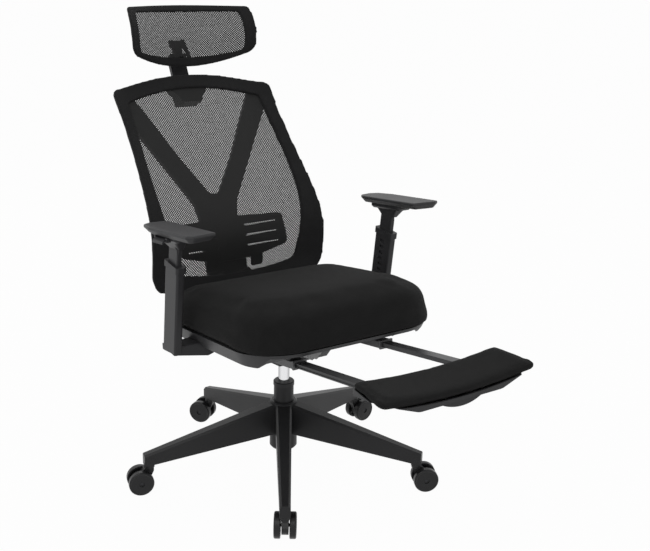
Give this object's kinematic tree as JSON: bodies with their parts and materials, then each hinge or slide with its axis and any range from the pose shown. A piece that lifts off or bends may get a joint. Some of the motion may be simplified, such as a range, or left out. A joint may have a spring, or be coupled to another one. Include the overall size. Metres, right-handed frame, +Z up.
{
  "type": "reclining office chair with footrest",
  "caption": "Reclining mesh-back office chair with headrest, adjustable arm rests, gas lift, castered star base and a slide-out flip-over footrest.",
  "frame": {"origin": "on the floor below the axis of the gas lift", "axes": "+Z up, +X to the sitter's left, the sitter faces -Y"},
  "size_m": [0.774, 1.2458, 1.1393],
  "materials": {
    "nylon_black": "fine grained black nylon",
    "plastic_dark": "satin dark grey moulding",
    "wheel_black": "hard glossy black",
    "chrome": "polished",
    "steel_bright": "plated",
    "steel_black": "black powder coat",
    "steel_grey": "grey metallic coat",
    "knit_black": "matte black knit",
    "net_black": "open black net",
    "border_black": "matte black woven edge",
    "plywood": "raw",
    "pad_grey": "soft foam skin",
    "knob_grey": "light grey"
  },
  "bodies": {
    "base": {"base_star": "nylon_black", "lift_tube": "steel_black", "lift_bush": "plastic_dark", "lift_thrust_bearing": "steel_bright"},
    "caster_1_swivel": {"caster_1_fork": "nylon_black"},
    "caster_1_roll": {"caster_1_wheels": "wheel_black", "caster_1_axle": "steel_bright"},
    "caster_2_swivel": {"caster_2_fork": "nylon_black"},
    "caster_2_roll": {"caster_2_wheels": "wheel_black", "caster_2_axle": "steel_bright"},
    "caster_3_swivel": {"caster_3_fork": "nylon_black"},
    "caster_3_roll": {"caster_3_wheels": "wheel_black", "caster_3_axle": "steel_bright"},
    "caster_4_swivel": {"caster_4_fork": "nylon_black"},
    "caster_4_roll": {"caster_4_wheels": "wheel_black", "caster_4_axle": "steel_bright"},
    "caster_5_swivel": {"caster_5_fork": "nylon_black"},
    "caster_5_roll": {"caster_5_wheels": "wheel_black", "caster_5_axle": "steel_bright"},
    "lift_column": {"lift_rod": "steel_bright", "lift_clip": "steel_bright"},
    "seat": {"lift_cylinder": "chrome", "mechanism_housing": "steel_black", "mechanism_bolts": "steel_bright", "recline_shaft": "steel_bright", "tilt_spring": "steel_black", "seat_pan": "plastic_dark", "seat_board": "plywood", "seat_cushion": "knit_black", "arm_left_bracket": "plastic_dark", "arm_right_bracket": "plastic_dark", "arm_bolts": "steel_bright", "footrest_guides": "steel_grey"},
    "lift_valve": {"lift_button": "steel_bright"},
    "height_control": {"height_lever": "steel_black"},
    "recline_control": {"recline_lever": "steel_black"},
    "tension_control": {"tension_knob": "knob_grey"},
    "back": {"back_bracket": "steel_black", "back_bolts": "steel_bright", "back_support": "plastic_dark", "back_frame": "border_black", "back_mesh": "net_black", "headrest_bracket": "plastic_dark"},
    "lumbar": {"lumbar_support": "plastic_dark"},
    "headrest_neck": {"headrest_post": "plastic_dark"},
    "headrest": {"headrest_frame": "border_black", "headrest_mesh": "net_black", "headrest_pin": "steel_bright"},
    "arm_left_upright": {"arm_left_post": "steel_black"},
    "arm_left_lock": {"arm_left_trigger": "plastic_dark"},
    "arm_left_swivel": {"arm_left_pivot": "plastic_dark"},
    "arm_left_rest": {"arm_left_pad": "pad_grey"},
    "arm_right_upright": {"arm_right_post": "steel_black"},
    "arm_right_lock": {"arm_right_trigger": "plastic_dark"},
    "arm_right_swivel": {"arm_right_pivot": "plastic_dark"},
    "arm_right_rest": {"arm_right_pad": "pad_grey"},
    "footrest_slide": {"footrest_rails": "steel_grey"},
    "footrest": {"footrest_shell": "plastic_dark", "footrest_cushion": "knit_black"}
  },
  "joints": [
    {"name": "caster_1_turns", "type": "hinge", "parent": "base", "child": "caster_1_swivel", "pos_m": [-0.17923, -0.29829, 0.07], "axis": [0, 0, 1], "continuous": true},
    {"name": "caster_1_rolls", "type": "hinge", "parent": "caster_1_swivel", "child": "caster_1_roll", "pos_m": [-0.16637, -0.27923, 0.031], "axis": [-0.829, 0.5592, 0], "continuous": true},
    {"name": "caster_2_turns", "type": "hinge", "parent": "base", "child": "caster_2_swivel", "pos_m": [0.22831, -0.26264, 0.07], "axis": [0, 0, 1], "continuous": true},
    {"name": "caster_2_rolls", "type": "hinge", "parent": "caster_2_swivel", "child": "caster_2_roll", "pos_m": [0.24898, -0.27272, 0.031], "axis": [0.4384, 0.8988, 0], "continuous": true},
    {"name": "caster_3_turns", "type": "hinge", "parent": "base", "child": "caster_3_swivel", "pos_m": [0.32034, 0.13597, 0.07], "axis": [0, 0, 1], "continuous": true},
    {"name": "caster_3_rolls", "type": "hinge", "parent": "caster_3_swivel", "child": "caster_3_roll", "pos_m": [0.34311, 0.13917, 0.031], "axis": [-0.1392, 0.9903, 0], "continuous": true},
    {"name": "caster_4_turns", "type": "hinge", "parent": "base", "child": "caster_4_swivel", "pos_m": [-0.03033, 0.34668, 0.07], "axis": [0, 0, 1], "continuous": true},
    {"name": "caster_4_rolls", "type": "hinge", "parent": "caster_4_swivel", "child": "caster_4_roll", "pos_m": [-0.04417, 0.36504, 0.031], "axis": [-0.7986, -0.6018, 0], "continuous": true},
    {"name": "caster_5_turns", "type": "hinge", "parent": "base", "child": "caster_5_swivel", "pos_m": [-0.33908, 0.07828, 0.07], "axis": [0, 0, 1], "continuous": true},
    {"name": "caster_5_rolls", "type": "hinge", "parent": "caster_5_swivel", "child": "caster_5_roll", "pos_m": [-0.3613, 0.08424, 0.031], "axis": [-0.2588, -0.9659, 0], "continuous": true},
    {"name": "seat_swivels", "type": "hinge", "parent": "base", "child": "lift_column", "pos_m": [0, 0, 0.075], "axis": [0, 0, 1], "continuous": true},
    {"name": "seat_height", "type": "slide", "parent": "lift_column", "child": "seat", "axis": [0, 0, 1], "range_m": [-0.045, 0.05]},
    {"name": "valve_button", "type": "slide", "parent": "seat", "child": "lift_valve", "axis": [0, 0, -1], "range_m": [0, 0.0036], "stiffness_N_per_m": 300},
    {"name": "height_lever_lifts", "type": "hinge", "parent": "seat", "child": "height_control", "pos_m": [-0.045, 0.05428, 0.34174], "axis": [0, 0.9936, -0.1132], "range_deg": [0, 4], "stiffness_Nm_per_rad": 3, "springref_deg": -2.86},
    {"name": "recline_lever_lifts", "type": "hinge", "parent": "seat", "child": "recline_control", "pos_m": [0.045, 0.05428, 0.34174], "axis": [0, -0.9936, 0.1132], "range_deg": [0, 4], "stiffness_Nm_per_rad": 3, "springref_deg": -2.86},
    {"name": "tension_knob_turns", "type": "hinge", "parent": "seat", "child": "tension_control", "pos_m": [0, -0.12144, 0.37182], "axis": [0, 0.9936, -0.1132], "continuous": true},
    {"name": "back_reclines", "type": "hinge", "parent": "seat", "child": "back", "pos_m": [0, 0.08567, 0.35225], "axis": [-1, 0, 0], "range_deg": [0, 25]},
    {"name": "lumbar_height", "type": "slide", "parent": "back", "child": "lumbar", "axis": [0, 0.3517, 0.9361], "range_m": [-0.02, 0.02]},
    {"name": "headrest_height", "type": "slide", "parent": "back", "child": "headrest_neck", "axis": [0, 0.4695, 0.8829], "range_m": [-0.01, 0.05]},
    {"name": "headrest_tilts", "type": "hinge", "parent": "headrest_neck", "child": "headrest", "pos_m": [0, 0.574, 1.034], "axis": [1, 0, 0], "range_deg": [-20, 20]},
    {"name": "arm_left_height", "type": "slide", "parent": "seat", "child": "arm_left_upright", "axis": [0, -0.1167, 0.9932], "range_m": [-0.034, 0.044]},
    {"name": "arm_left_trigger_lifts", "type": "hinge", "parent": "arm_left_upright", "child": "arm_left_lock", "pos_m": [0.331, -0.01659, 0.66816], "axis": [0, -0.9936, 0.1132], "range_deg": [0, 12], "stiffness_Nm_per_rad": 0.3, "springref_deg": -5.73},
    {"name": "arm_left_pad_turns", "type": "hinge", "parent": "arm_left_upright", "child": "arm_left_swivel", "pos_m": [0.305, -0.03382, 0.69362], "axis": [0, 0.1132, 0.9936], "range_deg": [-20, 20]},
    {"name": "arm_left_pad_slides", "type": "slide", "parent": "arm_left_swivel", "child": "arm_left_rest", "axis": [0, -0.9936, 0.1132], "range_m": [-0.025, 0.025]},
    {"name": "arm_right_height", "type": "slide", "parent": "seat", "child": "arm_right_upright", "axis": [0, -0.1167, 0.9932], "range_m": [-0.034, 0.044]},
    {"name": "arm_right_trigger_lifts", "type": "hinge", "parent": "arm_right_upright", "child": "arm_right_lock", "pos_m": [-0.331, -0.01659, 0.66816], "axis": [0, 0.9936, -0.1132], "range_deg": [0, 12], "stiffness_Nm_per_rad": 0.3, "springref_deg": -5.73},
    {"name": "arm_right_pad_turns", "type": "hinge", "parent": "arm_right_upright", "child": "arm_right_swivel", "pos_m": [-0.305, -0.03382, 0.69362], "axis": [0, 0.1132, 0.9936], "range_deg": [-20, 20]},
    {"name": "arm_right_pad_slides", "type": "slide", "parent": "arm_right_swivel", "child": "arm_right_rest", "axis": [0, -0.9936, 0.1132], "range_m": [-0.025, 0.025]},
    {"name": "footrest_slides_in", "type": "slide", "parent": "seat", "child": "footrest_slide", "axis": [0, 0.9866, -0.1633], "range_m": [0, 0.22]},
    {"name": "footrest_flips", "type": "hinge", "parent": "footrest_slide", "child": "footrest", "pos_m": [0, -0.53618, 0.4376], "axis": [1, 0, 0], "range_deg": [0, 180]}
  ],
  "couplings": [
    {"joint": "valve_button", "follows": "height_lever_lifts", "m_per_rad": 0.05}
  ]
}
